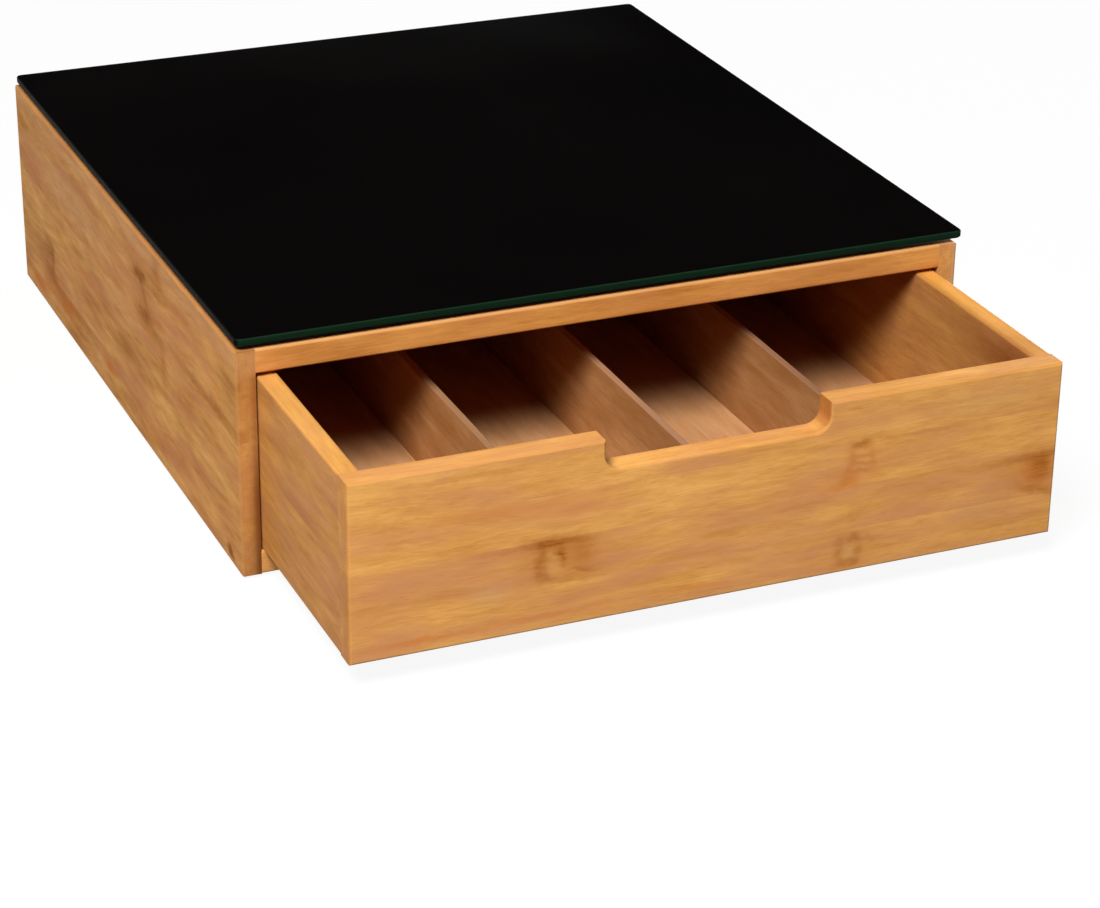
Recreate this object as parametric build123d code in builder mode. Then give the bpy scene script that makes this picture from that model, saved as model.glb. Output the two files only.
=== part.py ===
from build123d import *
import os

# Coffee capsule drawer: a bamboo cabinet under a black-backed glass top, with one divided drawer.
# Millimetres. X runs to the right seen from the front, Y to the back and Z up.
# The drawer is drawn pulled out by drawer_pull.
# The origin is on the surface that the feet stand on, on the cabinet's middle plane,
# halfway between the front of the pulled-out drawer and the cabinet's back.

# Cabinet boards
cabinet_width = 310.0
cabinet_depth = 335.0
cabinet_height = 95.0
side_thickness = 8.0
top_thickness = 10.0
bottom_thickness = 10.0
back_thickness = 8.0
arris_radius = 1.0

# Feet under the bottom panel
foot_radius = 6.0
foot_height = 1.5
foot_inset = 16.0
foot_bevel = 0.3

# Glass top, the black layer under it and the pads that carry it
glass_thickness = 3.0
glass_corner_radius = 2.5
glass_edge_bevel = 0.4
glass_left_inset = 0.5
glass_right_overhang = 2.5
glass_rear_inset = 1.0
backing_thickness = 0.2
backing_margin = 0.6
pad_radius = 5.0
pad_height = 1.8
pad_edge_radius = 0.4
pad_inset = 24.0
pad_columns = 2
pad_rows = 3

# Drawer boards
drawer_pull = 100.0
drawer_front_thickness = 9.5
drawer_side_thickness = 8.5
drawer_back_thickness = 8.5
drawer_side_clearance = 0.8
drawer_top_clearance = 1.7
drawer_run_clearance = 0.3

# Finger notch in the drawer front's top edge
notch_width = 92.0
notch_depth = 12.0
notch_bottom_radius = 6.0
notch_top_radius = 3.0

# Drawer bottom sheet and its grooves
floor_thickness = 4.0
floor_groove_rise = 7.0
floor_groove_depth = 4.0
floor_groove_clearance = 0.2

# Dividers and their grooves
divider_names = ("left_divider", "middle_divider", "right_divider")
divider_thickness = 3.0
divider_height = 40.0
divider_groove_depth = 3.0
divider_groove_clearance = 0.2
divider_arris = 0.4

# Dowels: thick ones in the cabinet's 10 mm boards, thin ones in the thinner boards
thick_dowel_radius = 2.5
thin_dowel_radius = 2.0
thick_dowel_length = 20.0
thin_dowel_length = 16.0
dowel_bite = 5.0
dowel_clearance = 0.1
dowel_end_clearance = 0.3
dowel_edge_inset = 45.0
dowels_per_board_end = 3
back_dowel_inset = 22.0
drawer_dowel_low = 20.0
drawer_dowel_high = 18.0

# Bumpers on the drawer's back
bumper_radius = 4.0
bumper_height = 1.5
bumper_edge_radius = 0.4
bumper_inset = 30.0
bumper_rise = 14.0
closing_clearance = 0.3

# Places that follow from the sizes
rear_y = (cabinet_depth + drawer_pull) / 2
front_y = rear_y - cabinet_depth
cabinet_middle_y = (front_y + rear_y) / 2
inner_width = cabinet_width - 2 * side_thickness
bottom_underside = foot_height
bottom_top = bottom_underside + bottom_thickness
cabinet_top = bottom_underside + cabinet_height
opening_top = cabinet_top - top_thickness
side_middle_z = bottom_underside + cabinet_height / 2

backing_low = cabinet_top + pad_height
glass_low = backing_low + backing_thickness
glass_width = cabinet_width - glass_left_inset + glass_right_overhang
glass_depth = cabinet_depth - glass_rear_inset
glass_centre_x = (glass_left_inset + glass_right_overhang) / 2
glass_centre_y = front_y + glass_depth / 2

drawer_width = inner_width - 2 * drawer_side_clearance
drawer_low = bottom_top + drawer_run_clearance
drawer_high = opening_top - drawer_top_clearance
drawer_height = drawer_high - drawer_low
drawer_middle_z = (drawer_low + drawer_high) / 2
drawer_front_y = front_y - drawer_pull
drawer_length = cabinet_depth - back_thickness - bumper_height - closing_clearance
drawer_rear_y = drawer_front_y + drawer_length
drawer_inner_front_y = drawer_front_y + drawer_front_thickness
drawer_inner_rear_y = drawer_rear_y - drawer_back_thickness
drawer_inner_width = drawer_width - 2 * drawer_side_thickness
drawer_side_length = drawer_length - drawer_front_thickness
drawer_side_centre_y = drawer_inner_front_y + drawer_side_length / 2
drawer_side_centre_x = drawer_width / 2 - drawer_side_thickness / 2

floor_low = drawer_low + floor_groove_rise
floor_high = floor_low + floor_thickness
floor_groove_height = floor_thickness + floor_groove_clearance
floor_groove_z = floor_low + floor_groove_height / 2
compartment_length = drawer_inner_rear_y - drawer_inner_front_y
compartment_centre_y = (drawer_inner_front_y + drawer_inner_rear_y) / 2
divider_count = len(divider_names)
compartment_width = (drawer_inner_width - divider_count * divider_thickness) / (divider_count + 1)
divider_pitch = compartment_width + divider_thickness
divider_slot_width = divider_thickness + divider_groove_clearance

thick_dowel_reach = thick_dowel_length - dowel_bite
thin_dowel_reach = thin_dowel_length - dowel_bite
dowel_row_pitch = (cabinet_depth - 2 * dowel_edge_inset) / (dowels_per_board_end - 1)
dowel_rows_y = [front_y + dowel_edge_inset + row * dowel_row_pitch for row in range(dowels_per_board_end)]
top_dowel_z = cabinet_top - top_thickness / 2
bottom_dowel_z = bottom_underside + bottom_thickness / 2
back_dowel_y = rear_y - back_thickness / 2
back_dowel_zs = (bottom_top + back_dowel_inset, opening_top - back_dowel_inset)
drawer_dowel_zs = (drawer_low + drawer_dowel_low, drawer_high - drawer_dowel_high)
drawer_back_dowel_y = drawer_rear_y - drawer_back_thickness / 2

os.makedirs("parts", exist_ok=True)


def save(builder, name):
    """Label a finished piece and write it under its name."""
    builder.part.label = name
    export_step(builder.part, f"parts/{name}.step")


def dowel_set(starts, direction, radius, length):
    """Round glued dowels, one from each starting point along the direction."""
    with BuildPart() as dowels:
        for start in starts:
            with BuildSketch(Plane(origin=start, z_dir=direction)):
                Circle(radius)
            extrude(amount=length)
    return dowels


def bore_sockets(mouths, direction, radius, depth):
    """Cut the blind sockets of dowels into the board being built, along the direction."""
    outward = tuple(-d for d in direction)
    with Locations(*[Plane(origin=mouth, z_dir=outward) for mouth in mouths]):
        Hole(radius + dowel_clearance, depth=depth + dowel_end_clearance)


def board_joint(side, z):
    """The points where a row of dowels crosses the inner face of a side panel."""
    return [(side * inner_width / 2, y, z) for y in dowel_rows_y]


def back_joint(side):
    """The points where the back panel's dowels cross the inner face of a side panel."""
    return [(side * inner_width / 2, back_dowel_y, z) for z in back_dowel_zs]


def drawer_front_joint(side):
    """The points where the front's dowels cross the inner face of the drawer front."""
    return [(side * drawer_side_centre_x, drawer_inner_front_y, z) for z in drawer_dowel_zs]


def drawer_back_joint(side):
    """The points where the back's dowels cross the inner face of a drawer side."""
    return [(side * drawer_inner_width / 2, drawer_back_dowel_y, z) for z in drawer_dowel_zs]


def shifted(points, direction, distance):
    """The same points, moved along a direction."""
    return [tuple(p + distance * d for p, d in zip(point, direction)) for point in points]


# Side panels: full-height boards with their outer arrises rounded
for name, side in (("left_side_panel", -1), ("right_side_panel", 1)):
    outward = (side, 0, 0)
    inner_x = side * inner_width / 2
    with BuildPart() as side_panel:
        face_middle = (inner_x, cabinet_middle_y, side_middle_z)
        with BuildSketch(Plane(origin=face_middle, x_dir=(0, 1, 0), z_dir=outward)):
            Rectangle(cabinet_depth, cabinet_height)
        extrude(amount=side_thickness)
        outer_face = side_panel.faces().sort_by(Axis.X)[-1 if side > 0 else 0]
        fillet(outer_face.edges(), radius=arris_radius)
        bore_sockets(board_joint(side, top_dowel_z), outward, thick_dowel_radius, dowel_bite)
        bore_sockets(board_joint(side, bottom_dowel_z), outward, thick_dowel_radius, dowel_bite)
        bore_sockets(back_joint(side), outward, thin_dowel_radius, dowel_bite)
    save(side_panel, name)

# Top and bottom panels: boards between the sides, with their front and rear arrises rounded
for name, low_z, thickness, dowel_z in (
    ("top_panel", opening_top, top_thickness, top_dowel_z),
    ("bottom_panel", bottom_underside, bottom_thickness, bottom_dowel_z),
):
    with BuildPart() as panel:
        with BuildSketch(Plane(origin=(0, cabinet_middle_y, low_z))):
            Rectangle(inner_width, cabinet_depth)
        extrude(amount=thickness)
        front_edges = panel.faces().sort_by(Axis.Y)[0].edges().filter_by(Axis.X)
        fillet(front_edges, radius=arris_radius)
        rear_edges = panel.faces().sort_by(Axis.Y)[-1].edges().filter_by(Axis.X)
        outer_rear_edge = rear_edges.sort_by(Axis.Z)[-1 if low_z > side_middle_z else 0]
        fillet(outer_rear_edge, radius=arris_radius)
        for side in (-1, 1):
            inward = (-side, 0, 0)
            bore_sockets(board_joint(side, dowel_z), inward, thick_dowel_radius, thick_dowel_reach)
    save(panel, name)

# Back panel: fills the rear between the four boards
with BuildPart() as back_panel:
    with BuildSketch(Plane.XZ.offset(-rear_y)):
        with Locations((0, (bottom_top + opening_top) / 2)):
            Rectangle(inner_width, opening_top - bottom_top)
    extrude(amount=back_thickness)
    for side in (-1, 1):
        bore_sockets(back_joint(side), (-side, 0, 0), thin_dowel_radius, thin_dowel_reach)
save(back_panel, "back_panel")

# Dowels that run crosswise from the side boards into the boards between them
for name, left_joint, right_joint, radius, length in (
    (
        "top_panel_dowels",
        board_joint(-1, top_dowel_z),
        board_joint(1, top_dowel_z),
        thick_dowel_radius,
        thick_dowel_length,
    ),
    (
        "bottom_panel_dowels",
        board_joint(-1, bottom_dowel_z),
        board_joint(1, bottom_dowel_z),
        thick_dowel_radius,
        thick_dowel_length,
    ),
    ("back_panel_dowels", back_joint(-1), back_joint(1), thin_dowel_radius, thin_dowel_length),
    (
        "drawer_back_dowels",
        drawer_back_joint(-1),
        drawer_back_joint(1),
        thin_dowel_radius,
        thin_dowel_length,
    ),
):
    starts = shifted(left_joint, (-1, 0, 0), dowel_bite)
    starts += shifted(right_joint, (1, 0, 0), dowel_bite - length)
    save(dowel_set(starts, (1, 0, 0), radius, length), name)

# Dowels that run from the drawer front into the ends of the drawer sides
front_mouths = drawer_front_joint(-1) + drawer_front_joint(1)
front_starts = shifted(front_mouths, (0, -1, 0), dowel_bite)
save(dowel_set(front_starts, (0, 1, 0), thin_dowel_radius, thin_dowel_length), "drawer_front_dowels")

# Feet: thin round pads near the corners of the underside
with BuildPart() as feet:
    with BuildSketch(Plane(origin=(0, cabinet_middle_y, 0))):
        with GridLocations(cabinet_width - 2 * foot_inset, cabinet_depth - 2 * foot_inset, 2, 2):
            Circle(foot_radius)
    extrude(amount=foot_height)
    chamfer(feet.edges().group_by(Axis.Z)[0], length=foot_bevel)
save(feet, "non_slip_feet")

# Pads: clear cylinders between the top panel and the glass
with BuildPart() as pads:
    with BuildSketch(Plane(origin=(glass_centre_x, glass_centre_y, cabinet_top))):
        with GridLocations(
            (glass_width - 2 * pad_inset) / (pad_columns - 1),
            (glass_depth - 2 * pad_inset) / (pad_rows - 1),
            pad_columns,
            pad_rows,
        ):
            Circle(pad_radius)
    extrude(amount=pad_height)
    fillet(pads.edges().group_by(Axis.Z)[-1], radius=pad_edge_radius)
save(pads, "glass_pads")

# Black layer on the underside of the glass
with BuildPart() as backing:
    with BuildSketch(Plane(origin=(glass_centre_x, glass_centre_y, backing_low))):
        RectangleRounded(
            glass_width - 2 * backing_margin,
            glass_depth - 2 * backing_margin,
            glass_corner_radius - backing_margin,
        )
    extrude(amount=backing_thickness)
save(backing, "black_backing")

# Glass sheet with ground edges
with BuildPart() as glass:
    with BuildSketch(Plane(origin=(glass_centre_x, glass_centre_y, glass_low))):
        RectangleRounded(glass_width, glass_depth, glass_corner_radius)
    extrude(amount=glass_thickness)
    chamfer(glass.faces().filter_by(Axis.Z).edges(), length=glass_edge_bevel)
save(glass, "glass_top")


def cut_floor_groove(plane, length):
    """Cut the groove that holds the bottom sheet into the inner face that the plane lies on."""
    with BuildSketch(plane) as groove:
        Rectangle(length, floor_groove_height)
    extrude(groove.sketch, amount=-floor_groove_depth, mode=Mode.SUBTRACT)


def cut_divider_grooves(plane):
    """Cut the upright grooves that hold the dividers' ends into the inner face of a cross board."""
    slot_low = floor_low
    slot_high = floor_high + divider_height + divider_groove_clearance
    with BuildSketch(plane) as grooves:
        with Locations((0, (slot_low + slot_high) / 2 - plane.origin.Z)):
            with GridLocations(divider_pitch, 0, divider_count, 1):
                Rectangle(divider_slot_width, slot_high - slot_low)
    extrude(grooves.sketch, amount=-divider_groove_depth, mode=Mode.SUBTRACT)


# Drawer front: laps the ends of both sides and carries the finger notch
with BuildPart() as drawer_front:
    with BuildSketch(Plane.XZ.offset(-drawer_inner_front_y)) as front_outline:
        with Locations((0, drawer_middle_z)):
            Rectangle(drawer_width, drawer_height)
        with Locations((0, drawer_high - notch_depth / 2)):
            Rectangle(notch_width, notch_depth, mode=Mode.SUBTRACT)
        notch_reach = (notch_width + drawer_width) / 4
        notch_corners = front_outline.vertices().filter_by(lambda v: abs(v.X) < notch_reach)
        fillet(notch_corners.group_by(Axis.Y)[0], radius=notch_bottom_radius)
        fillet(notch_corners.group_by(Axis.Y)[-1], radius=notch_top_radius)
    extrude(amount=drawer_front_thickness)
    fillet(drawer_front.faces().sort_by(Axis.Y)[0].edges(), radius=arris_radius)
    groove_middle = (0, drawer_inner_front_y, floor_groove_z)
    inner_face = Plane(origin=groove_middle, x_dir=(-1, 0, 0), z_dir=(0, 1, 0))
    cut_floor_groove(inner_face, drawer_inner_width + 2 * floor_groove_depth)
    cut_divider_grooves(inner_face)
    for side in (-1, 1):
        bore_sockets(drawer_front_joint(side), (0, -1, 0), thin_dowel_radius, dowel_bite)
save(drawer_front, "drawer_front")

# Drawer sides: grooved for the bottom sheet, with rounded upper arrises
for name, side in (("drawer_left_side", -1), ("drawer_right_side", 1)):
    inner_x = side * drawer_inner_width / 2
    with BuildPart() as drawer_side:
        side_middle = (inner_x, drawer_side_centre_y, drawer_middle_z)
        with BuildSketch(Plane(origin=side_middle, x_dir=(0, 1, 0), z_dir=(side, 0, 0))):
            Rectangle(drawer_side_length, drawer_height)
        extrude(amount=drawer_side_thickness)
        long_edges = drawer_side.edges().filter_by(Axis.Y)
        fillet(long_edges.group_by(Axis.Z)[-1], radius=arris_radius)
        outer_low_edge = long_edges.group_by(Axis.Z)[0].sort_by(Axis.X)[-1 if side > 0 else 0]
        fillet(outer_low_edge, radius=arris_radius)
        groove_middle = (inner_x, drawer_side_centre_y, floor_groove_z)
        groove_plane = Plane(origin=groove_middle, x_dir=(0, 1, 0), z_dir=(-side, 0, 0))
        cut_floor_groove(groove_plane, drawer_side_length)
        bore_sockets(drawer_front_joint(side), (0, 1, 0), thin_dowel_radius, thin_dowel_reach)
        bore_sockets(drawer_back_joint(side), (side, 0, 0), thin_dowel_radius, dowel_bite)
    save(drawer_side, name)

# Drawer back: stands between the sides
with BuildPart() as drawer_back:
    with BuildSketch(Plane.XZ.offset(-drawer_rear_y)):
        with Locations((0, drawer_middle_z)):
            Rectangle(drawer_inner_width, drawer_height)
    extrude(amount=drawer_back_thickness)
    fillet(drawer_back.edges().filter_by(Axis.X).group_by(Axis.Z)[-1], radius=arris_radius)
    groove_middle = (0, drawer_inner_rear_y, floor_groove_z)
    inner_face = Plane(origin=groove_middle, x_dir=(1, 0, 0), z_dir=(0, -1, 0))
    cut_floor_groove(inner_face, drawer_inner_width)
    cut_divider_grooves(inner_face)
    for side in (-1, 1):
        bore_sockets(drawer_back_joint(side), (-side, 0, 0), thin_dowel_radius, thin_dowel_reach)
save(drawer_back, "drawer_back")

# Drawer bottom: a ply sheet that reaches into the four grooves
floor_reach = floor_groove_depth - floor_groove_clearance
with BuildPart() as drawer_bottom:
    with BuildSketch(Plane(origin=(0, compartment_centre_y, floor_low))):
        Rectangle(drawer_inner_width + 2 * floor_reach, compartment_length + 2 * floor_reach)
    extrude(amount=floor_thickness)
save(drawer_bottom, "drawer_bottom")

# Dividers: ply strips that stand on the bottom sheet, with their ends in the upright grooves
divider_length = compartment_length + 2 * (divider_groove_depth - divider_groove_clearance)
for index, name in enumerate(divider_names):
    divider_x = (index - (divider_count - 1) / 2) * divider_pitch
    with BuildPart() as divider:
        with BuildSketch(Plane(origin=(divider_x, compartment_centre_y, floor_high))):
            Rectangle(divider_thickness, divider_length)
        extrude(amount=divider_height)
        fillet(divider.edges().filter_by(Axis.Y).group_by(Axis.Z)[-1], radius=divider_arris)
    save(divider, name)

# Bumpers: clear buttons low on the rear face of the drawer
with BuildPart() as bumpers:
    with BuildSketch(Plane.XZ.offset(-drawer_rear_y)):
        with Locations((0, drawer_low + bumper_rise)):
            with GridLocations(drawer_width - 2 * bumper_inset, 0, 2, 1):
                Circle(bumper_radius)
    extrude(amount=-bumper_height)
    fillet(bumpers.edges().group_by(Axis.Y)[-1], radius=bumper_edge_radius)
save(bumpers, "closing_bumpers")
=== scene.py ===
import math

import bpy
from mathutils import Matrix, Vector

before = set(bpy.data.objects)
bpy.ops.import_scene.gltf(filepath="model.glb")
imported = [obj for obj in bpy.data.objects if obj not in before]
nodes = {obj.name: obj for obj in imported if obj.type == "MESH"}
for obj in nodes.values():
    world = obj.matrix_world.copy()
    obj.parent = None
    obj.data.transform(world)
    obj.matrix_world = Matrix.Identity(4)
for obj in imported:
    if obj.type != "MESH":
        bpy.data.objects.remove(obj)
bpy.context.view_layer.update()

scene = bpy.context.scene

# The photograph's camera, in the object's frame
CAMERA_PLACE = Vector((-0.4717, -1.1641, 0.5705))
YAW = math.radians(23.083)
PITCH = math.radians(25.332)
ROLL = math.radians(-0.628)
LENS = 103.22
SENSOR_WIDTH = 36.0

# How fine each noise of the bamboo is, per millimetre along, across and through the board
DRIFT_SCALE = (0.007, 0.02, 0.02)
FIBRE_SCALE = (0.12, 1.6, 1.6)
DASH_SCALE = (0.16, 2.2, 2.2)
MOTTLE_SCALE = (0.045, 0.3, 0.3)
CLOUD_SCALE = (0.02, 0.07, 0.07)
WARMTH_SCALE = (0.024, 0.1, 0.1)
BUNDLE_SCALE = (0.05, 1.5, 1.5)
WANDER_SCALE = (0.24, 0.32, 0.32)
# How far the fibres drift, and how far the edges of the strokes wander, in millimetres
DRIFT = 16.0
WANDER = (5.0, 3.5, 0.0)
# The bamboo's layers, strips and knuckles, in millimetres
LAYER_THICKNESS = 2.9
DRAWER_STRIP = 18.25
CABINET_STRIP = 19.0
KNUCKLE_PITCH = 235.0
STRIP_BLEND = 3.0
# The glass: how fine its haze is and its ground edge's streaks, and where its edge lies, in metres
GLASS_SCALE = (9.0, 7.0, 9.0)
GROUND_SCALE = (90.0, 90.0, 1400.0)
GLASS_UNDERSIDE = 0.0985
GLASS_THICKNESS = 0.003
# The bevel on the boards, in metres and degrees
ARRIS_WIDTH = 0.00025
ARRIS_ANGLE = 50
# The floor: half its side, its brightness as seen and as it lights the object, and its own glow
FLOOR_HALF = 6.0
FLOOR_SEEN = 0.88
FLOOR_UNSEEN = (0.25, 0.27)
FLOOR_GLOW = 0.92
# The studio: its light on the object, its brightness overhead, and where white turns dark
SKY_LIGHT = 0.065
SKY_TOP = 0.006
SKY_WHITE_BELOW = math.radians(8)
SKY_DARK_ABOVE = math.radians(17.5)
WHITE = (1.0, 1.0, 1.0, 1.0)

AXES = "XYZ"
STROKE_INPUTS = ("Along", "Across", "Length", "Height", "Lean", "Strength")


def make_camera():
    """The camera, from its yaw to the right of +Y, its pitch down and its roll."""
    level = math.cos(PITCH)
    forward = Vector((math.sin(YAW) * level, math.cos(YAW) * level, -math.sin(PITCH)))
    right = Vector((math.cos(YAW), -math.sin(YAW), 0.0))
    down = forward.cross(right)
    rolled_right = math.cos(ROLL) * right + math.sin(ROLL) * down
    rolled_down = -math.sin(ROLL) * right + math.cos(ROLL) * down
    turn = Matrix((rolled_right, -rolled_down, -forward)).transposed()
    data = bpy.data.cameras.new("camera")
    data.lens = LENS
    data.sensor_width = SENSOR_WIDTH
    camera = bpy.data.objects.new("camera", data)
    camera.matrix_world = Matrix.Translation(CAMERA_PLACE) @ turn.to_4x4()
    scene.collection.objects.link(camera)
    scene.camera = camera


class Graph:
    """Adds shader nodes to a tree; an input is a number, a tuple or another node's output."""

    def __init__(self, tree):
        self.tree = tree

    def feed(self, socket, value):
        if isinstance(value, bpy.types.NodeSocket):
            self.tree.links.new(value, socket)
        else:
            socket.default_value = value

    def add(self, kind, inputs=None, **settings):
        node = self.tree.nodes.new(kind)
        for key, value in settings.items():
            setattr(node, key, value)
        for key, value in (inputs or {}).items():
            self.feed(node.inputs[key], value)
        return node

    def math(self, operation, a, b=0.0, c=0.0, clamp=False):
        inputs = {0: a, 1: b, 2: c}
        return self.add("ShaderNodeMath", inputs, operation=operation, use_clamp=clamp).outputs[0]

    def plus(self, a, b):
        return self.math("ADD", a, b)

    def minus(self, a, b, clamp=False):
        return self.math("SUBTRACT", a, b, clamp=clamp)

    def times(self, a, b):
        return self.math("MULTIPLY", a, b)

    def times_plus(self, a, b, c, clamp=False):
        """a times b, plus c."""
        return self.math("MULTIPLY_ADD", a, b, c, clamp=clamp)

    def most(self, a, b):
        return self.math("MAXIMUM", a, b)

    def centred(self, value):
        """A value from 0 to 1 as one from -0.5 to 0.5."""
        return self.minus(value, 0.5)

    def clamped(self, value):
        return self.math("ADD", value, 0.0, clamp=True)

    def bell(self, value, width):
        """1 where the value is 0, falling smoothly to 0 beyond the width."""
        ratio = self.math("DIVIDE", value, width)
        return self.math("EXPONENT", self.times(self.times(ratio, ratio), -1.0))

    def ramp(self, value, low, high, to_low=0.0, to_high=1.0, smooth=True):
        inputs = {
            "Value": value, "From Min": low, "From Max": high, "To Min": to_low, "To Max": to_high,
        }
        kind = "SMOOTHSTEP" if smooth else "LINEAR"
        return self.add("ShaderNodeMapRange", inputs, interpolation_type=kind).outputs[0]

    def split(self, vector):
        return self.add("ShaderNodeSeparateXYZ", {0: vector}).outputs

    def join(self, x, y, z):
        return self.add("ShaderNodeCombineXYZ", {0: x, 1: y, 2: z}).outputs[0]

    def scale(self, vector, factors):
        inputs = {0: vector, 1: factors}
        return self.add("ShaderNodeVectorMath", inputs, operation="MULTIPLY").outputs[0]

    def shift(self, vector, offset):
        inputs = {0: vector, 1: offset}
        return self.add("ShaderNodeVectorMath", inputs, operation="ADD").outputs[0]

    def noise(self, vector, scale, detail=2.0, rough=0.5, output="Fac"):
        """Noise of one scale all ways, or of three scales along the three directions."""
        if isinstance(scale, tuple):
            vector, scale = self.scale(vector, scale), 1.0
        inputs = {"Vector": vector, "Scale": scale, "Detail": detail, "Roughness": rough}
        return self.add("ShaderNodeTexNoise", inputs).outputs[output]

    def random(self, vector):
        node = self.add("ShaderNodeTexWhiteNoise", {"Vector": vector}, noise_dimensions="3D")
        return node.outputs["Color"]

    def mix(self, factor, a, b):
        node = self.add("ShaderNodeMix", data_type="RGBA")
        self.feed(node.inputs[0], factor)
        self.feed(node.inputs[6], a)
        self.feed(node.inputs[7], b)
        return node.outputs[2]


def srgb(red, green, blue):
    """A linear colour from 8-bit display values."""
    def linear(v):
        v /= 255.0
        return v / 12.92 if v <= 0.04045 else ((v + 0.055) / 1.055) ** 2.4
    return (linear(red), linear(green), linear(blue), 1.0)


def new_graph(owner):
    """The emptied node tree of a material or a world."""
    owner.use_nodes = True
    owner.node_tree.nodes.clear()
    return Graph(owner.node_tree)


def group_tree(name, vectors, numbers, results):
    """A node group with named vectors and numbers in and numbers out, and its inner ends."""
    tree = bpy.data.node_groups.new(name, "ShaderNodeTree")
    for title in vectors:
        tree.interface.new_socket(name=title, in_out="INPUT", socket_type="NodeSocketVector")
    for title in numbers:
        tree.interface.new_socket(name=title, in_out="INPUT", socket_type="NodeSocketFloat")
    for title in results:
        tree.interface.new_socket(name=title, in_out="OUTPUT", socket_type="NodeSocketFloat")
    graph = Graph(tree)
    start = graph.add("NodeGroupInput")
    end = graph.add("NodeGroupOutput")
    return tree, graph, start.outputs, end.inputs


def make_bamboo_group():
    """Laminated bamboo: strips and layers with tones of their own, fibres, knuckles and end grain.

    Place is in millimetres: x along the grain, y across the strips, z through the board. Facing is
    the surface's normal in the same three directions.
    """
    tree, g, start, end = group_tree(
        "bamboo",
        ("Place", "Facing"),
        ("Low edge", "Seed", "Strip width", "Knuckles", "Contrast", "Mottle", "Streaks"),
        ("Tone", "Hue", "Dark", "Height", "Arris", "Fibre", "End"),
    )
    seed, contrast = start["Seed"], start["Contrast"]
    along, across, deep = g.split(start["Place"])
    facing = [g.math("ABSOLUTE", value) for value in g.split(start["Facing"])]
    ends = g.ramp(facing[0], 0.6, 0.8)
    edges = g.ramp(facing[1], 0.6, 0.8)
    narrow = g.most(ends, edges)
    not_edges = g.minus(1.0, edges)
    flattest = g.most(facing[0], g.most(facing[1], facing[2]))
    arris = g.ramp(flattest, 0.86, 0.99, 1.0, 0.0)
    # Strips across the board and layers through it, each with random values of its own
    place = g.math("DIVIDE", g.minus(across, start["Low edge"]), start["Strip width"])
    strip = g.math("FLOOR", place)
    inside = g.centred(g.math("FRACT", place))
    own = g.split(g.random(g.join(strip, seed, 3.7)))
    depth = g.plus(g.math("DIVIDE", deep, LAYER_THICKNESS), g.times(seed, 0.37))
    own_layer = g.split(g.random(g.join(g.math("FLOOR", depth), seed, 9.1)))
    # The fibres wander gently across the board
    drift = g.times(g.centred(g.noise(start["Place"], DRIFT_SCALE)), DRIFT)
    offset = g.join(g.times(seed, 61.0), g.times_plus(strip, 17.3, drift), drift)
    grain = g.shift(start["Place"], offset)
    fine = g.noise(grain, FIBRE_SCALE, detail=3.0, rough=0.65)
    dash = g.noise(grain, DASH_SCALE, detail=1.0)
    medium = g.noise(grain, MOTTLE_SCALE, detail=3.0, rough=0.6)
    broad = g.noise(grain, CLOUD_SCALE)
    warm = g.noise(g.shift(grain, (310.0, 47.0, 19.0)), WARMTH_SCALE)
    # Knuckles: one now and then along each strip, as two bowed lines in a soft halo
    turn = g.plus(g.math("DIVIDE", along, KNUCKLE_PITCH), g.times(own[0], 7.0))
    number = g.math("FLOOR", turn)
    jitter = g.split(g.random(g.join(strip, g.plus(seed, 11.0), number)))
    middle = g.times_plus(jitter[0], 0.5, 0.25)
    off = g.times(g.minus(g.math("FRACT", turn), middle), KNUCKLE_PITCH)
    bow = g.times(g.times(inside, inside), 7.0)
    off = g.plus(g.plus(off, bow), g.times(g.centred(medium), 7.0))
    second = g.bell(g.plus(off, 7.0), 1.1)
    halo = g.bell(g.plus(off, 3.0), 11.0)
    line = g.plus(g.bell(off, 1.3), g.times(second, 0.7))
    line = g.times(line, g.ramp(fine, 0.3, 0.6, 0.5, 1.0))
    strong = g.times(g.times_plus(jitter[1], 0.5, 0.5), start["Knuckles"])
    knuckle = g.times(g.times_plus(halo, 0.3, g.times(line, 0.42)), strong)
    knuckle = g.times(knuckle, g.minus(1.0, narrow, clamp=True))
    # Fine joint lines between the strips, and seams between the layers
    reach = g.times(g.minus(0.5, g.math("ABSOLUTE", inside)), start["Strip width"])
    joint = g.times(g.bell(reach, 0.25), not_edges)
    joint = g.times(joint, g.ramp(medium, 0.35, 0.65, 0.25, 1.0))
    seam = g.minus(0.5, g.math("ABSOLUTE", g.centred(g.math("FRACT", depth))))
    seam = g.times(g.bell(seam, 0.06), narrow)
    # End grain: dots of the fibre bundles
    bundles = {"Vector": g.scale(grain, BUNDLE_SCALE), "Scale": 1.0}
    cell = g.add("ShaderNodeTexVoronoi", bundles, feature="F1")
    dots = g.ramp(cell.outputs["Distance"], 0.12, 0.45, 1.0, 0.0)
    # Tone is 0 for dark and 1 for light; hue is pinker where it is higher
    tone = g.times_plus(g.times(g.centred(own[1]), contrast), not_edges, 0.5)
    tone = g.times_plus(g.times(g.centred(own_layer[1]), narrow), 0.14, tone)
    mottle = g.times_plus(g.centred(medium), 0.9, g.times(g.centred(broad), 0.85))
    tone = g.times_plus(mottle, start["Mottle"], tone)
    tone = g.times_plus(g.centred(fine), start["Streaks"], tone)
    hue = g.plus(g.times(g.centred(own[2]), g.times(contrast, 2.0)), 0.55)
    hue = g.times_plus(g.centred(warm), 3.0, hue)
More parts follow.
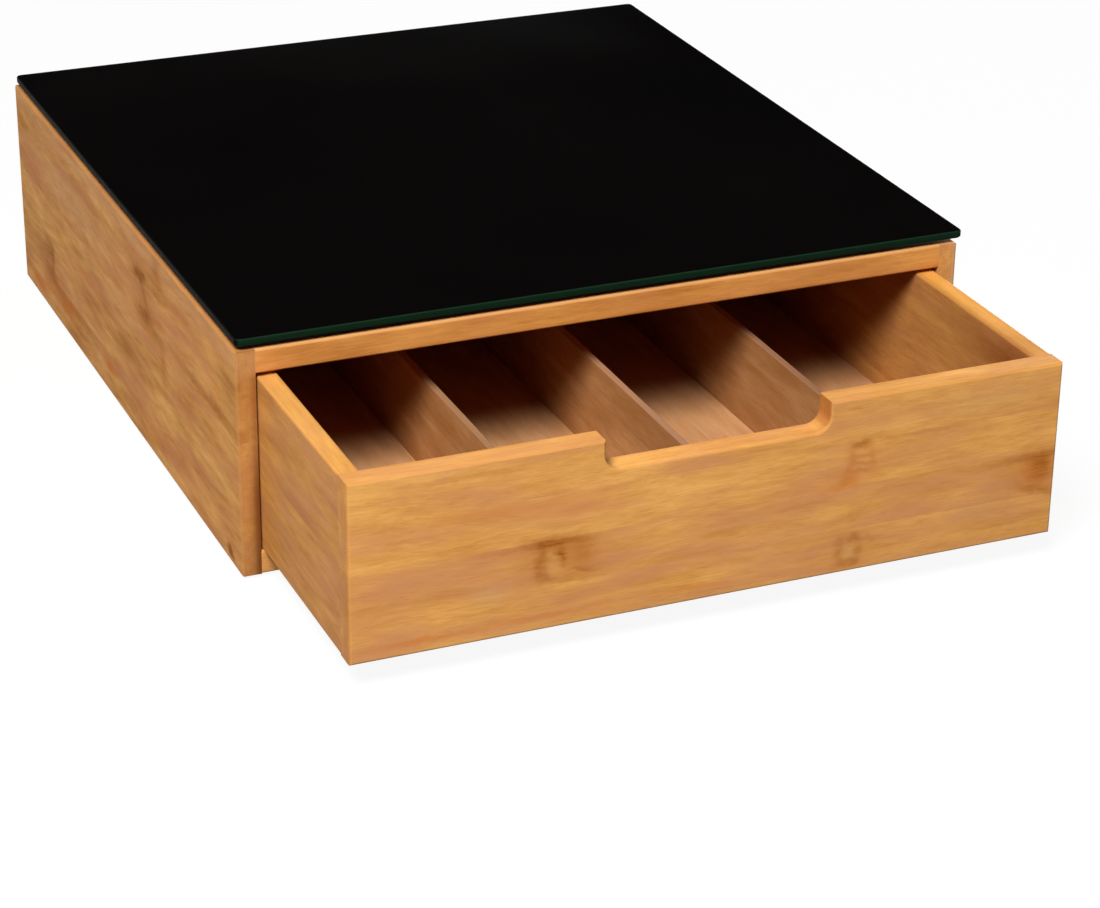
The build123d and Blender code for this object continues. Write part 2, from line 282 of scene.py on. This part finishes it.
    # Dark marks: dashes, patches, knuckles, joints, seams and the dots of the end grain
    dark = g.times(g.ramp(dash, 0.6, 0.78), 0.2)
    dark = g.times_plus(g.ramp(medium, 0.6, 0.78), 0.16, dark)
    dark = g.most(dark, knuckle)
    dark = g.most(dark, g.times(joint, g.times(contrast, 1.2)))
    dark = g.most(dark, g.times(seam, 0.12))
    dark = g.times_plus(ends, g.times_plus(dots, 0.08, 0.05), dark)
    height = g.times_plus(dash, -0.5, g.times(fine, 0.9))
    height = g.times_plus(joint, -0.8, height)
    for title, value in (
        ("Tone", tone), ("Hue", hue), ("Dark", dark), ("Height", height), ("Arris", arris),
        ("Fibre", fine), ("End", ends),
    ):
        g.feed(end[title], value)
    return tree


def make_stroke_group():
    """One soft stroke on a board, given by its middle, half sizes, lean and strength."""
    tree, g, start, end = group_tree("stroke", ("Place",), STROKE_INPUTS, ("Mark",))
    along, across = g.split(start["Place"])[:2]
    up = g.minus(across, start["Across"])
    out = g.minus(g.minus(along, start["Along"]), g.times(up, start["Lean"]))
    u = g.math("DIVIDE", out, start["Length"])
    v = g.math("DIVIDE", up, start["Height"])
    squares = g.times_plus(u, u, g.math("POWER", g.math("ABSOLUTE", v), 3.0))
    fall = g.math("EXPONENT", g.times(squares, -1.0))
    g.feed(end["Mark"], g.times(fall, start["Strength"]))
    return tree


bamboo_group = make_bamboo_group()
stroke_group = make_stroke_group()


def bamboo_material(
    name,
    axes,
    seed,
    low=0.0,
    strip_width=DRAWER_STRIP,
    knuckles=1.0,
    strokes=(),
    strip_tones=(),
    contrast=0.15,
    mottle=1.0,
    streaks=0.8,
    edge_wear_and_shade=0.45,
    sawn=None,
    shades=(),
    light=(240, 178, 98),
    base=(190, 125, 57),
    blush=(204, 137, 93),
    brown=(134, 70, 24),
    rust=(200, 112, 42),
    pale=(228, 182, 128),
    dull=(118, 68, 34),
    rubbed=(172, 118, 62),
    shine=(0.42, 0.58),
    specular=0.05,
):
    """Satin bamboo for a board; axes names the directions along the grain, across it and through it.

    A stroke is a colour word, then its middle along and across, half sizes, lean and strength. A
    shade is a colour word, an axis, two places on it and a strength: it grows from the first place
    to the second, and three more values bound it the same way on a second axis. Some shades are
    painted shade or painted highlight, as said where they are used. A strip tone is a strip's index
    from the lowest, how much lighter it is and how much pinker. A sawn end is two places along the
    board and a strength: end faces before the first place are that much browner, fading out at the
    second, on both sides of the middle. Sharp edges show wear and are rougher; their colour there is
    partly painted shade that tones down the highlight they catch.
    """
    material = bpy.data.materials.new(name)
    g = new_graph(material)
    coordinates = g.add("ShaderNodeTexCoord").outputs
    parts = g.split(g.scale(coordinates["Object"], (1000.0, 1000.0, 1000.0)))
    facing = g.split(coordinates["Normal"])
    place = g.join(*[parts[AXES.index(axis)] for axis in axes])
    turned = g.join(*[facing[AXES.index(axis)] for axis in axes])
    wood = g.add("ShaderNodeGroup", node_tree=bamboo_group)
    for title, value in (
        ("Place", place), ("Facing", turned), ("Low edge", low), ("Seed", seed),
        ("Strip width", strip_width), ("Knuckles", knuckles), ("Contrast", contrast),
        ("Mottle", mottle), ("Streaks", streaks),
    ):
        g.feed(wood.inputs[title], value)
    tone, hue, dark = (wood.outputs[title] for title in ("Tone", "Hue", "Dark"))
    along, across = g.split(place)[:2]
    for index, lighter, pinker in strip_tones:
        first = low + index * strip_width
        last = first + strip_width
        rise = g.ramp(across, first - STRIP_BLEND, first + STRIP_BLEND)
        fall = g.ramp(across, last - STRIP_BLEND, last + STRIP_BLEND, 1.0, 0.0)
        here = g.times(rise, fall)
        tone = g.times_plus(here, lighter, tone)
        hue = g.times_plus(here, pinker, hue)
    marks = {}

    def add_mark(word, mark):
        marks[word] = g.plus(marks[word], mark) if word in marks else mark

    if strokes:
        wander = g.noise(place, WANDER_SCALE, detail=3.0, output="Color")
        shifted = g.shift(g.scale(g.shift(wander, (-0.5, -0.5, -0.5)), WANDER), place)
        broken = g.ramp(wood.outputs["Fibre"], 0.3, 0.66, 0.7, 1.2)
        for word, *numbers in strokes:
            stroke = g.add("ShaderNodeGroup", node_tree=stroke_group)
            g.feed(stroke.inputs["Place"], shifted)
            for title, value in zip(STROKE_INPUTS, numbers):
                g.feed(stroke.inputs[title], value)
            add_mark(word, g.times(stroke.outputs[0], broken))
    for word, axis, first, last, strength, *bound in shades:
        mark = g.ramp(parts[AXES.index(axis)], first, last, 0.0, strength)
        if bound:
            mark = g.times(mark, g.ramp(parts[AXES.index(bound[0])], bound[1], bound[2]))
        add_mark(word, mark)
    colour = g.mix(g.clamped(tone), srgb(*base), srgb(*light))
    colour = g.mix(g.ramp(hue, 0.2, 1.3, 0.0, 0.8, smooth=False), colour, srgb(*blush))
    for word, tint in (("rust", rust), ("pale", pale), ("dull", dull)):
        if word in marks:
            colour = g.mix(g.clamped(marks[word]), colour, srgb(*tint))
    if "brown" in marks:
        dark = g.plus(dark, marks["brown"])
    if sawn:
        near = g.ramp(g.math("ABSOLUTE", along), sawn[0], sawn[1], sawn[2], 0.0)
        dark = g.times_plus(wood.outputs["End"], near, dark)
    colour = g.mix(g.clamped(dark), colour, srgb(*brown))
    # The arris colour: partly edge wear, partly painted shade that tones down the highlight the lit
    # edges catch
    rub = g.times(wood.outputs["Arris"], edge_wear_and_shade)
    colour = g.mix(rub, colour, srgb(*rubbed))
    gloss = g.ramp(tone, 0.0, 1.0, shine[1], shine[0], smooth=False)
    relief = {"Strength": 0.3, "Distance": 0.00008, "Height": wood.outputs["Height"]}
    shader = g.add(
        "ShaderNodeBsdfPrincipled",
        {
            "Base Color": colour,
            "Roughness": g.times_plus(rub, 0.3, gloss, clamp=True),
            "IOR": 1.48,
            "Specular IOR Level": specular,
            "Specular Tint": (1.0, 0.76, 0.5, 1.0),
            "Normal": g.add("ShaderNodeBump", relief).outputs[0],
        },
    )
    g.add("ShaderNodeOutputMaterial", {"Surface": shader.outputs[0]})
    return material


def ply_material(name, axes, seed, light, base, **settings):
    """Thin unlacquered bamboo ply: matt, pinkish brown, with soft streaks."""
    return bamboo_material(
        name, axes, seed, strip_width=24.0, knuckles=0.0, light=light, base=base, blush=base,
        brown=(100, 56, 30), shine=(0.65, 0.8), specular=0.1, **settings,
    )


def plain_material(name, colour_of, roughness_of, **settings):
    """A material whose colour and roughness come from small node recipes."""
    material = bpy.data.materials.new(name)
    g = new_graph(material)
    place = g.add("ShaderNodeTexCoord").outputs["Object"]
    inputs = {"Base Color": colour_of(g, place), "Roughness": roughness_of(g, place), **settings}
    shader = g.add("ShaderNodeBsdfPrincipled", inputs)
    g.add("ShaderNodeOutputMaterial", {"Surface": shader.outputs[0]})
    return material


def noisy_colour(dark, light, scale, detail=2.0):
    """A recipe for a colour that varies between two."""
    return lambda g, place: g.mix(g.noise(place, scale, detail), srgb(*dark), srgb(*light))


def noisy_roughness(low, high, scale, detail=2.0):
    """A recipe for a roughness that varies between two."""
    return lambda g, place: g.ramp(g.noise(place, scale, detail), 0.3, 0.7, low, high)


def glass_edge_colour(g, place):
    """Dark bottle green, streaked where the edge is ground, and browner on the two sides."""
    streaks = g.noise(place, GROUND_SCALE)
    height = g.times(g.minus(g.split(place)[2], GLASS_UNDERSIDE), 1.0 / GLASS_THICKNESS)
    blend = g.times_plus(streaks, 0.5, g.times(height, 0.45))
    green = g.mix(g.clamped(blend), srgb(10, 26, 15), srgb(24, 48, 32))
    aside = g.math("ABSOLUTE", g.split(g.add("ShaderNodeTexCoord").outputs["Normal"])[0])
    return g.mix(g.ramp(aside, 0.3, 0.8), green, srgb(14, 10, 7))


def dress(names, *materials):
    """Give CAD nodes their materials: the first everywhere, a second on the upright faces."""
    for name in names:
        mesh = nodes[name].data
        mesh.materials.clear()
        for material in materials:
            mesh.materials.append(material)
        for face in mesh.polygons:
            face.material_index = int(len(materials) > 1 and abs(face.normal.z) < 0.95)


# Strokes on the drawer's front: colour, middle along X and Z, half sizes, lean and strength
FRONT_STROKES = (
    # The knuckle left of the middle: its top bar, two legs, foot, pale heart and smears
    ("brown", -68.5, 48.0, 9.0, 2.4, 0.0, 0.50),
    ("brown", -62.0, 46.8, 15.0, 1.6, 0.0, 0.28),
    ("brown", -86.0, 47.0, 10.0, 1.3, 0.0, 0.20),
    ("brown", -71.3, 41.0, 2.6, 7.0, 0.06, 0.52),
    ("brown", -69.5, 33.4, 3.6, 2.2, -0.6, 0.42),
    ("brown", -63.0, 41.0, 2.0, 4.0, 0.0, 0.60),
    ("brown", -66.3, 45.2, 3.2, 1.8, 0.0, 0.30),
    ("brown", -65.0, 42.6, 2.6, 1.0, 0.0, 0.26),
    ("pale", -66.8, 38.8, 1.4, 4.0, 0.0, 0.22),
    ("brown", -56.0, 41.0, 7.5, 7.5, 0.0, 0.42),
    ("rust", -56.5, 43.4, 7.0, 5.0, 0.0, 0.25),
    ("brown", -53.5, 33.8, 4.5, 1.4, -3.0, 0.36),
    ("brown", -60.0, 31.4, 8.0, 1.5, 0.0, 0.26),
    ("brown", -76.0, 39.2, 6.5, 8.0, 0.0, 0.16),
    # The upper knuckle on the right
    ("brown", 59.5, 65.2, 4.2, 1.9, 0.0, 0.66),
    ("brown", 66.5, 68.0, 7.5, 1.3, 0.0, 0.28),
    ("brown", 44.0, 66.8, 7.0, 1.2, 0.0, 0.18),
    ("rust", 55.9, 59.3, 3.0, 6.0, 0.1, 0.20),
    ("brown", 55.7, 59.0, 1.8, 5.0, 0.1, 0.20),
    ("rust", 54.8, 52.0, 6.0, 3.4, 0.0, 0.36),
    ("brown", 54.5, 50.6, 3.6, 1.8, 0.0, 0.20),
    ("rust", 64.8, 60.0, 3.0, 6.0, -0.1, 0.16),
    ("brown", 64.8, 59.5, 1.7, 5.5, -0.1, 0.14),
    ("brown", 60.7, 60.2, 3.4, 1.0, -2.0, 0.28),
    ("brown", 60.2, 57.0, 3.6, 1.0, -2.0, 0.28),
    ("brown", 60.7, 54.2, 3.2, 0.9, -2.0, 0.24),
    ("rust", 60.0, 57.8, 9.0, 9.0, 0.0, 0.10),
    ("rust", 50.3, 48.4, 8.0, 1.6, 0.0, 0.40),
    # The lower knuckle on the right: a light cross among dark dots
    ("brown", 58.7, 25.8, 2.8, 2.3, 0.0, 0.40),
    ("brown", 52.4, 25.3, 2.3, 2.0, 0.0, 0.26),
    ("brown", 52.1, 20.3, 1.9, 2.8, 0.0, 0.34),
    ("brown", 60.7, 20.3, 1.8, 2.8, 0.0, 0.32),
    ("brown", 59.0, 15.7, 3.0, 1.9, 0.0, 0.38),
    ("brown", 53.2, 16.0, 2.8, 1.9, 0.0, 0.32),
    ("pale", 56.4, 20.3, 1.3, 4.2, 0.75, 0.40),
    ("pale", 56.4, 20.3, 1.3, 4.2, -0.75, 0.40),
    ("brown", 56.4, 20.0, 9.0, 8.5, 0.0, 0.10),
    ("brown", 65.8, 24.6, 5.0, 1.4, -3.0, 0.26),
    ("rust", 56.4, 14.0, 8.0, 2.4, 0.0, 0.25),
    # The knuckle cut by the right end
    ("brown", 140.5, 42.2, 5.6, 7.0, 0.0, 0.56),
    ("rust", 138.5, 40.5, 8.0, 8.0, 0.0, 0.55),
    ("brown", 134.3, 46.8, 12.0, 1.8, 0.0, 0.28),
    ("brown", 131.5, 41.4, 12.0, 6.5, 0.0, 0.18),
    ("brown", 136.5, 33.0, 8.0, 2.6, -3.0, 0.44),
    ("brown", 143.5, 30.2, 4.0, 1.8, -2.0, 0.30),
    ("brown", 121.3, 46.2, 13.0, 1.2, 0.0, 0.18),
    # Streaks and patches
    ("brown", 5.2, 38.5, 11.0, 1.6, 0.0, 0.26),
    ("brown", 38.2, 43.9, 12.0, 1.4, -3.0, 0.18),
    ("brown", -100.0, 79.8, 22.0, 1.1, 0.0, 0.22),
    ("brown", -124.0, 58.3, 8.0, 1.0, -2.0, 0.22),
    ("brown", -120.0, 33.2, 20.0, 1.2, 0.0, 0.14),
    ("brown", 92.0, 66.0, 22.0, 1.2, 0.0, 0.20),
    ("rust", -85.0, 63.4, 30.0, 2.6, 0.0, 0.26),
    ("rust", -60.0, 58.8, 25.0, 1.8, 0.0, 0.18),
    ("rust", -118.0, 16.8, 15.0, 1.3, 0.0, 0.50),
    ("rust", -70.0, 17.4, 30.0, 1.2, 0.0, 0.34),
    ("rust", -11.0, 17.6, 12.0, 1.3, 0.0, 0.40),
    ("pale", -92.0, 30.6, 6.5, 4.2, 0.0, 0.40),
    ("pale", 0.0, 12.8, 160.0, 1.2, 0.0, 0.30),
    ("pale", 115.0, 74.2, 22.0, 5.0, 0.0, 0.25),
    ("pale", 112.5, 29.0, 10.0, 4.0, 0.0, 0.18),
)
# Strokes on the cabinet's left side, with their middle along Y and Z
LEFT_PANEL_STROKES = (
    # A knuckle in the upper half, with its two dark spots and the tail below
    ("brown", 13.2, 78.3, 8.0, 2.5, 0.0, 0.92),
    ("brown", 18.7, 78.8, 4.0, 2.2, 0.0, 0.30),
    ("brown", 7.0, 80.4, 5.0, 1.4, 0.0, 0.38),
    ("brown", 11.6, 62.2, 9.5, 3.6, 0.0, 0.56),
    ("rust", 9.5, 63.5, 11.0, 5.5, 0.0, 0.40),
    ("brown", 4.5, 63.4, 6.0, 2.8, 0.0, 0.42),
    ("brown", 6.6, 71.0, 3.0, 5.5, 0.8, 0.40),
    ("brown", 5.7, 70.0, 15.0, 12.0, 0.0, 0.18),
    ("rust", 5.2, 56.0, 8.0, 2.2, 0.0, 0.30),
    ("brown", -16.9, 49.8, 4.5, 9.0, 0.0, 0.26),
    ("rust", -16.9, 49.8, 5.0, 9.0, 0.0, 0.30),
    ("brown", -9.2, 59.8, 10.0, 2.2, 0.0, 0.36),
    ("brown", -11.5, 90.8, 6.0, 6.0, 0.0, 0.34),
    ("rust", -15.0, 86.6, 5.0, 5.0, 0.0, 0.30),
    ("brown", -58.4, 61.7, 40.0, 2.2, 0.0, 0.36),
    ("brown", -98.4, 62.2, 20.0, 2.2, 0.0, 0.36),
    ("brown", -109.0, 76.8, 12.0, 8.5, 0.0, 0.46),
    ("rust", -92.5, 71.6, 8.0, 4.5, 0.0, 0.30),
    # Dark patches, orange streaks and the small knot near the front
    ("brown", 37.2, 36.2, 16.0, 4.7, 0.0, 0.42),
    ("brown", 68.5, 40.5, 22.0, 2.2, 0.0, 0.24),
    ("brown", 167.0, 34.0, 9.5, 5.2, 0.2, 0.60),
    ("brown", 168.8, 21.6, 9.5, 4.2, 0.0, 0.62),
    ("brown", 179.5, 29.1, 15.0, 4.4, 0.0, 0.42),
    ("brown", 162.7, 28.1, 3.0, 9.0, 0.0, 0.34),
    ("rust", 161.0, 20.4, 10.0, 3.4, 0.0, 0.60),
    ("rust", 172.0, 29.0, 13.0, 8.0, 0.0, 0.34),
    ("rust", 173.0, 14.0, 9.0, 4.0, 0.0, 0.50),
    ("rust", 141.8, 14.6, 16.0, 3.6, 0.0, 0.70),
    ("rust", 126.5, 18.2, 14.0, 2.4, 0.0, 0.40),
    ("rust", 190.5, 8.6, 14.0, 3.6, 0.0, 0.85),
    ("brown", 106.3, 17.5, 24.0, 2.4, 0.0, 0.44),
    ("brown", 151.2, 18.2, 14.0, 2.4, 0.0, 0.36),
    ("rust", 69.5, 14.7, 9.0, 3.2, 0.0, 0.80),
    ("rust", 2.0, 11.3, 14.0, 4.0, 0.0, 0.28),
    ("rust", 106.0, 43.7, 16.0, 2.6, 0.0, 0.36),
    ("brown", -102.8, 6.2, 3.4, 2.2, 0.0, 1.10),
    ("brown", -106.7, 4.4, 2.6, 1.7, 0.0, 0.60),
    ("brown", 44.0, 82.4, 170.0, 2.4, 0.0, 0.26),
    # These two pale bands on the upper part are painted sheen, standing in for reflected light
    ("pale", 43.5, 92.2, 190.0, 4.0, 0.0, 0.42),
    ("pale", 125.5, 73.0, 60.0, 9.0, 0.0, 0.36),
    ("pale", -88.2, 27.3, 8.0, 1.2, -4.0, 0.35),
    ("pale", 55.0, 51.0, 50.0, 5.0, 0.0, 0.18),
    ("pale", 85.0, 11.4, 6.0, 2.5, 0.0, 0.30),
)

dress(["drawer_front"], bamboo_material(
    "bamboo_drawer_front", "XZY", 3.0, low=11.8, knuckles=0.0, contrast=0.03,
    sawn=(60.0, 90.0, 0.5), light=(243, 181, 101), base=(194, 128, 60), brown=(158, 86, 18),
    rust=(206, 116, 46), pale=(206, 160, 104), rubbed=(186, 128, 66), strokes=FRONT_STROKES,
    strip_tones=((0, -0.02, 0.12), (1, -0.03, 0.18), (2, 0.01, -0.12), (3, 0.04, -0.05)),
    shades=(
        ("brown", "X", -145.6, -146.1, 0.22),
        ("brown", "X", 145.6, 146.1, 0.22),
        # Painted shade: the top edge is darkened to offset the light it catches
        ("dull", "Z", 84.2, 84.7, 0.12),
    ),
))
dress(["drawer_left_side"], bamboo_material(
    "bamboo_drawer_left", "YZX", 5.0, low=11.8, knuckles=0.0, contrast=0.1, mottle=1.3, streaks=0.6,
    light=(228, 165, 86), base=(175, 112, 50), blush=(192, 126, 80), rubbed=(190, 132, 66),
    pale=(248, 190, 104),
    # Painted highlight: the top edge is lightened
    shades=(("pale", "Z", 84.2, 84.7, 0.2),),
    strokes=(("brown", -164.1, 50.0, 22.0, 4.0, 0.0, 0.18),),
))
dress(["drawer_right_side"], bamboo_material(
    "bamboo_drawer_right", "YZX", 6.0, low=11.8, knuckles=0.0, contrast=0.08, mottle=1.4,
    light=(228, 167, 92), base=(175, 112, 52), blush=(192, 128, 82), rubbed=(172, 116, 58),
    pale=(240, 170, 72),
    # The second shade is a painted highlight that lightens the top edge
    shades=(("dull", "X", 141.0, 138.5, 0.3), ("pale", "Z", 84.2, 84.7, 0.6)),
    strokes=(
        ("brown", -198.0, 68.0, 16.0, 20.0, 0.0, 0.60),
        ("brown", -172.0, 74.0, 28.0, 7.0, 0.0, 0.50),
        ("brown", -160.0, 60.0, 24.0, 6.0, 0.0, 0.16),
    ),
))
dress(["drawer_back"], bamboo_material("bamboo_drawer_back", "XZY", 7.0, low=11.8))
dress(["left_side_panel"], bamboo_material(
    "bamboo_left_panel", "YZX", 8.0, low=1.5, strip_width=CABINET_STRIP, knuckles=0.0, contrast=0.08,
    mottle=1.5, streaks=0.5, light=(234, 173, 93), base=(177, 114, 52), blush=(196, 124, 79),
    brown=(150, 87, 10), rust=(198, 110, 24), pale=(214, 164, 118), rubbed=(168, 116, 76),
    specular=0.02, strokes=LEFT_PANEL_STROKES,
    shades=(
        # Painted shade: the stile's inner edge beside the drawer's gap is darker, more so low down
        ("dull", "X", -151.0, -147.2, 0.42, "Z", 88.0, 84.0),
        ("dull", "X", -154.0, -147.2, 0.36, "Z", 62.0, 34.0),
        # Painted shade: the top face is darkened to offset the strong light on it
        ("dull", "Z", 96.1, 96.45, 0.3),
        ("dull", "Y", -116.6, -117.4, 0.24),
        ("pale", "Y", -116.6, -117.4, 0.15),
    ),
))
dress(["right_side_panel"], bamboo_material(
    "bamboo_right_panel", "YZX", 9.0, low=1.5, strip_width=CABINET_STRIP, mottle=1.2, streaks=0.65,
    light=(244, 182, 102), base=(198, 132, 62), pale=(206, 156, 122),
    shades=(("pale", "X", 150.5, 153.5, 0.4, "Y", -115.0, -117.0),),
))
dress(["top_panel"], bamboo_material(
    "bamboo_top_panel", "XYZ", 10.0, low=-123.0, strip_width=CABINET_STRIP, knuckles=0.0, mottle=1.3,
    light=(233, 165, 90), base=(186, 117, 49), blush=(198, 127, 72), pale=(226, 176, 128),
    rubbed=(196, 142, 88),
    # The pale shade is a painted highlight along the top of the front edge
    shades=(("pale", "Z", 95.2, 96.4, 0.3), ("rust", "Z", 91.5, 88.0, 0.12)),
))
dress(["bottom_panel"], bamboo_material(
    "bamboo_bottom_panel", "XYZ", 11.0, low=-123.0, strip_width=CABINET_STRIP,
))
dress(["back_panel"], bamboo_material(
    "bamboo_back_panel", "XZY", 12.0, low=1.5, strip_width=CABINET_STRIP,
))

dress(["drawer_bottom"], ply_material("ply_floor", "YXZ", 13.0, (212, 163, 116), (176, 124, 80)))
for index, (name, light, base, top) in enumerate((
    ("left_divider", (202, 149, 99), (160, 105, 57), (148, 110, 80)),
    ("middle_divider", (198, 146, 97), (157, 103, 56), (160, 118, 90)),
    ("right_divider", (191, 141, 93), (151, 99, 54), (141, 101, 77)),
)):
    dress([name], ply_material(
        f"ply_{name}", "YZX", 14.0 + index, light, base, pale=top, rubbed=(140, 98, 66),
        shades=(("pale", "Z", 62.2, 62.7, 0.85),),
    ))

dress(
    ["glass_top"],
    plain_material(
        "glass_over_black",
        noisy_colour((5, 4, 4), (9, 7, 6), GLASS_SCALE, detail=3.0),
        noisy_roughness(0.04, 0.08, GLASS_SCALE, detail=3.0),
        **{"IOR": 1.5},
    ),
    plain_material(
        "ground_glass_edge",
        glass_edge_colour,
        noisy_roughness(0.3, 0.42, 500.0),
        **{"IOR": 1.5, "Specular IOR Level": 0.005},
    ),
)
dress(["black_backing"], plain_material(
    "black_coat",
    noisy_colour((8, 8, 8), (13, 12, 12), 300.0),
    noisy_roughness(0.3, 0.4, 120.0),
))
dress(["glass_pads", "closing_bumpers"], plain_material(
    "clear_soft_pad",
    noisy_colour((200, 198, 190), (214, 212, 204), 400.0),
    noisy_roughness(0.22, 0.32, 250.0),
    **{"Transmission Weight": 0.6, "IOR": 1.45},
))
dress(["non_slip_feet"], plain_material(
    "black_foam",
    noisy_colour((30, 30, 30), (52, 51, 50), 900.0, detail=3.0),
    noisy_roughness(0.8, 0.95, 700.0),
))
BEECH = dict(
    light=(232, 196, 150), base=(196, 152, 102), blush=(214, 172, 128), strip_width=60.0, knuckles=0.0,
)
dress(
    ["top_panel_dowels", "bottom_panel_dowels", "back_panel_dowels", "drawer_back_dowels"],
    bamboo_material("dowel_crosswise", "XZY", 20.0, **BEECH),
)
dress(["drawer_front_dowels"], bamboo_material("dowel_lengthwise", "YZX", 21.0, **BEECH))

# A hairline arris on the boards' sharp edges, so that their joints show
for name in (
    "left_side_panel", "right_side_panel", "top_panel", "bottom_panel", "back_panel",
    "drawer_front", "drawer_left_side", "drawer_right_side", "drawer_back",
):
    bevel = nodes[name].modifiers.new("arris", "BEVEL")
    bevel.width = ARRIS_WIDTH
    bevel.segments = 2
    bevel.limit_method = "ANGLE"
    bevel.angle_limit = math.radians(ARRIS_ANGLE)


def seen(g):
    """1 for rays from the camera and for those that a mirror or glass sends on."""
    path = g.add("ShaderNodeLightPath").outputs
    return g.most(g.most(path["Is Camera Ray"], path["Is Glossy Ray"]), path["Is Transmission Ray"])


def make_floor():
    """A wide pale floor that keeps a faint shadow."""
    half = FLOOR_HALF
    corners = [(-half, -half, 0.0), (half, -half, 0.0), (half, half, 0.0), (-half, half, 0.0)]
    mesh = bpy.data.meshes.new("floor")
    mesh.from_pydata(corners, [], [(0, 1, 2, 3)])
    floor = bpy.data.objects.new("floor", mesh)
    scene.collection.objects.link(floor)
    material = bpy.data.materials.new("pale_floor")
    g = new_graph(material)
    shown = seen(g)
    grain = g.noise(g.add("ShaderNodeTexCoord").outputs["Object"], 3.0)
    darker, lighter = FLOOR_UNSEEN
    grey = g.mix(grain, (darker, darker, darker, 1.0), (lighter, lighter, lighter, 1.0))
    pale = (FLOOR_SEEN, FLOOR_SEEN, FLOOR_SEEN, 1.0)
    matt = g.add("ShaderNodeBsdfDiffuse", {"Color": g.mix(shown, grey, pale)})
    white = g.add("ShaderNodeEmission", {"Color": WHITE, "Strength": 1.0})
    inputs = {0: g.times(shown, FLOOR_GLOW), 1: matt.outputs[0], 2: white.outputs[0]}
    blend = g.add("ShaderNodeMixShader", inputs)
    g.add("ShaderNodeOutputMaterial", {"Surface": blend.outputs[0]})
    mesh.materials.append(material)


def make_studio():
    """A world that is seen as white low down and dark above, and that lights the object little."""
    world = bpy.data.worlds.new("studio")
    scene.world = world
    g = new_graph(world)
    rise = g.split(g.add("ShaderNodeTexCoord").outputs["Generated"])[2]
    backdrop = g.ramp(rise, math.sin(SKY_WHITE_BELOW), math.sin(SKY_DARK_ABOVE), 1.0, SKY_TOP)
    strength = g.times_plus(seen(g), g.minus(backdrop, SKY_LIGHT), SKY_LIGHT)
    sky = g.add("ShaderNodeBackground", {"Color": WHITE, "Strength": strength})
    g.add("ShaderNodeOutputWorld", {"Surface": sky.outputs[0]})


def softbox(name, direction, distance, size, power, target=(0.0, -0.05, 0.05)):
    """A square area lamp that faces the target from the given direction."""
    data = bpy.data.lights.new(name, "AREA")
    data.shape = "SQUARE"
    data.size = size
    data.energy = power
    lamp = bpy.data.objects.new(name, data)
    aim = Vector(target)
    place = aim + Vector(direction).normalized() * distance
    lamp.location = place
    lamp.rotation_euler = (aim - place).to_track_quat("-Z", "Y").to_euler()
    scene.collection.objects.link(lamp)


make_camera()
make_floor()
make_studio()
softbox("key", (-0.405, -0.505, 0.76), distance=2.2, size=0.8, power=71.0)
# The fill stands low behind the right rear corner, for the right side and the back
softbox("fill", (0.78, 0.62, 0.12), distance=2.2, size=0.6, power=32.0)

scene.view_settings.view_transform = "Standard"
